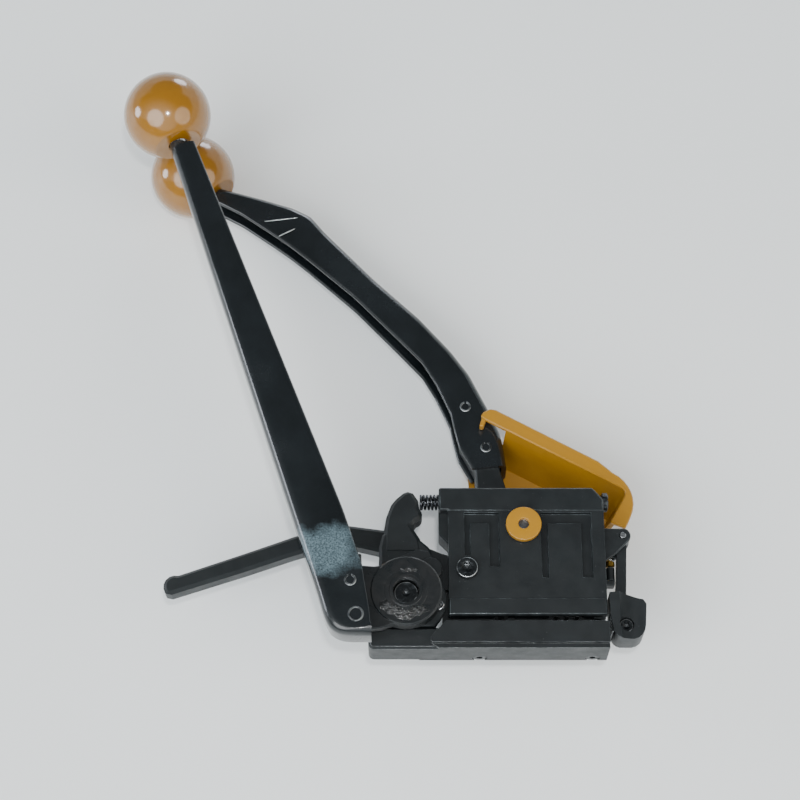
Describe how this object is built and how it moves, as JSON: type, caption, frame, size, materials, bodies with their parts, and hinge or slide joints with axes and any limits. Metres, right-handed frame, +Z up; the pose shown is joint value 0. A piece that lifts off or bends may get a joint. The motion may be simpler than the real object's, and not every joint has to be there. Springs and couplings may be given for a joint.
{
  "type": "strapping tensioner tool",
  "caption": "Hand-operated steel strapping tool with a sealing lever, a ratchet tensioning lever and yellow ball knobs, lying on its back.",
  "frame": {"origin": "centre of the tool's bounding box in plan, on the plane that its back lies on", "axes": "+Z up from the tool's back to its operator's side, +Y from the sole towards the ball knobs, +X along the sole from the tensioning lever to the gripper"},
  "size_m": [0.2897, 0.3402, 0.107],
  "materials": {
    "black_oxide_steel": "satin black oxide on ground and cast steel, worn bright on the working edges",
    "black_enamel_steel": "thick gloss black stove enamel with a little orange peel",
    "yellow_enamel": "semi-gloss mustard yellow enamel on pressed steel, chipped at the edges",
    "yellow_phenolic": "polished mustard yellow thermoset moulding",
    "bright_steel": "bright turned or drawn steel",
    "hardened_tool_steel": "ground and hardened tool steel, grey",
    "brass": "turned brass",
    "sintered_bronze": "sintered bronze"
  },
  "bodies": {
    "frame": {"base_plate": "black_oxide_steel", "base_screw_left": "black_oxide_steel", "base_screw_right": "black_oxide_steel", "lower_die": "hardened_tool_steel", "anvil_plug": "hardened_tool_steel", "housing": "black_oxide_steel", "front_plate": "black_oxide_steel", "plate_screw_top_left": "black_oxide_steel", "plate_screw_top_right": "black_oxide_steel", "plate_screw_low_right": "black_oxide_steel", "rocker_pivot_bolt": "black_oxide_steel", "spring_rod": "black_oxide_steel", "shaft_bush_front": "sintered_bronze", "shaft_bush_back": "sintered_bronze", "gripper_pivot_pin": "bright_steel", "gripper_spring_seat": "black_oxide_steel", "gripper_spring_guide": "brass", "gripper_spring": "bright_steel"},
    "punch_carriage": {"punch_slide": "hardened_tool_steel", "strap_punches": "hardened_tool_steel", "cutter_blade": "hardened_tool_steel"},
    "sealing_lever_assembly": {"sealing_shaft": "hardened_tool_steel", "sealing_shaft_key": "bright_steel", "sealing_shaft_nut": "black_oxide_steel", "sealing_shaft_cap": "yellow_enamel", "sealing_arm": "black_oxide_steel", "sealing_lever": "black_enamel_steel", "sealing_roll_pin_upper": "black_oxide_steel", "sealing_roll_pin_lower": "black_oxide_steel", "sealing_guard": "yellow_enamel", "guard_screw_top": "bright_steel", "guard_screw_left": "bright_steel", "guard_screw_right": "bright_steel", "sealing_knob": "yellow_phenolic", "sealing_knob_stud": "bright_steel"},
    "rocker_assembly": {"rocker": "black_oxide_steel", "rocker_bush": "sintered_bronze", "feed_bush_front": "sintered_bronze", "feed_bush_back": "sintered_bronze", "holding_pawl_pin": "bright_steel", "holding_pawl_spring": "bright_steel", "rocker_spring": "black_oxide_steel"},
    "feed_train": {"feed_shaft": "hardened_tool_steel", "feed_wheel": "hardened_tool_steel", "ratchet_wheel": "hardened_tool_steel", "feed_shaft_screw": "black_oxide_steel"},
    "tension_lever_assembly": {"tension_hub": "black_oxide_steel", "tension_lever": "black_enamel_steel", "tension_roll_pin": "black_oxide_steel", "tension_rivet_pin": "black_oxide_steel", "tension_knob": "yellow_phenolic", "tension_knob_stud": "bright_steel", "drive_pawl_pin": "bright_steel", "drive_pawl_spring": "bright_steel"},
    "gripper": {"gripper_lever": "black_oxide_steel", "gripper_pad": "hardened_tool_steel", "gripper_screw": "black_oxide_steel"},
    "holding_pawl_body": {"holding_pawl": "hardened_tool_steel"},
    "drive_pawl_body": {"drive_pawl": "hardened_tool_steel"}
  },
  "joints": [
    {"name": "rocker_tilt", "type": "hinge", "parent": "frame", "child": "rocker_assembly", "pos_m": [0.05025, -0.12645, 0.055], "axis": [0, 0, 1], "range_deg": [-6, 0], "stiffness_Nm_per_rad": 1.5, "springref_deg": 6.88, "deforming": ["rocker_spring"]},
    {"name": "tension_swing", "type": "hinge", "parent": "rocker_assembly", "child": "tension_lever_assembly", "pos_m": [0.01775, -0.14315, 0.077], "axis": [0, 0, 1], "range_deg": [-95, 0]},
    {"name": "feed_wheel_spin", "type": "hinge", "parent": "rocker_assembly", "child": "feed_train", "pos_m": [0.01775, -0.14315, 0.057], "axis": [0, 0, 1], "range_deg": [-95, 0]},
    {"name": "holding_pawl_lift", "type": "hinge", "parent": "rocker_assembly", "child": "holding_pawl_body", "pos_m": [0.03535, -0.14775, 0.0685], "axis": [0, 0, 1], "range_deg": [-12, 0], "stiffness_Nm_per_rad": 0.02, "springref_deg": 17.19},
    {"name": "drive_pawl_lift", "type": "hinge", "parent": "tension_lever_assembly", "child": "drive_pawl_body", "pos_m": [0.00035, -0.14015, 0.0685], "axis": [0, 0, 1], "range_deg": [0, 12], "stiffness_Nm_per_rad": 0.02, "springref_deg": -17.19},
    {"name": "sealing_swing", "type": "hinge", "parent": "frame", "child": "sealing_lever_assembly", "pos_m": [0.08085, -0.10165, 0.03], "axis": [0, 0, 1], "range_deg": [-100, 0]},
    {"name": "punch_stroke", "type": "slide", "parent": "frame", "child": "punch_carriage", "axis": [0, -1, 0], "range_m": [0, 0.004]},
    {"name": "gripper_tilt", "type": "hinge", "parent": "frame", "child": "gripper", "pos_m": [0.13465, -0.10495, 0.053], "axis": [0, 0, 1], "range_deg": [0, 10], "stiffness_Nm_per_rad": 0.4, "springref_deg": -11.46, "deforming": ["gripper_spring"]}
  ],
  "couplings": [
    {"joint": "feed_wheel_spin", "follows": "tension_swing", "ratio": 1},
    {"joint": "punch_stroke", "follows": "sealing_swing", "m_per_rad": -0.00229}
  ]
}
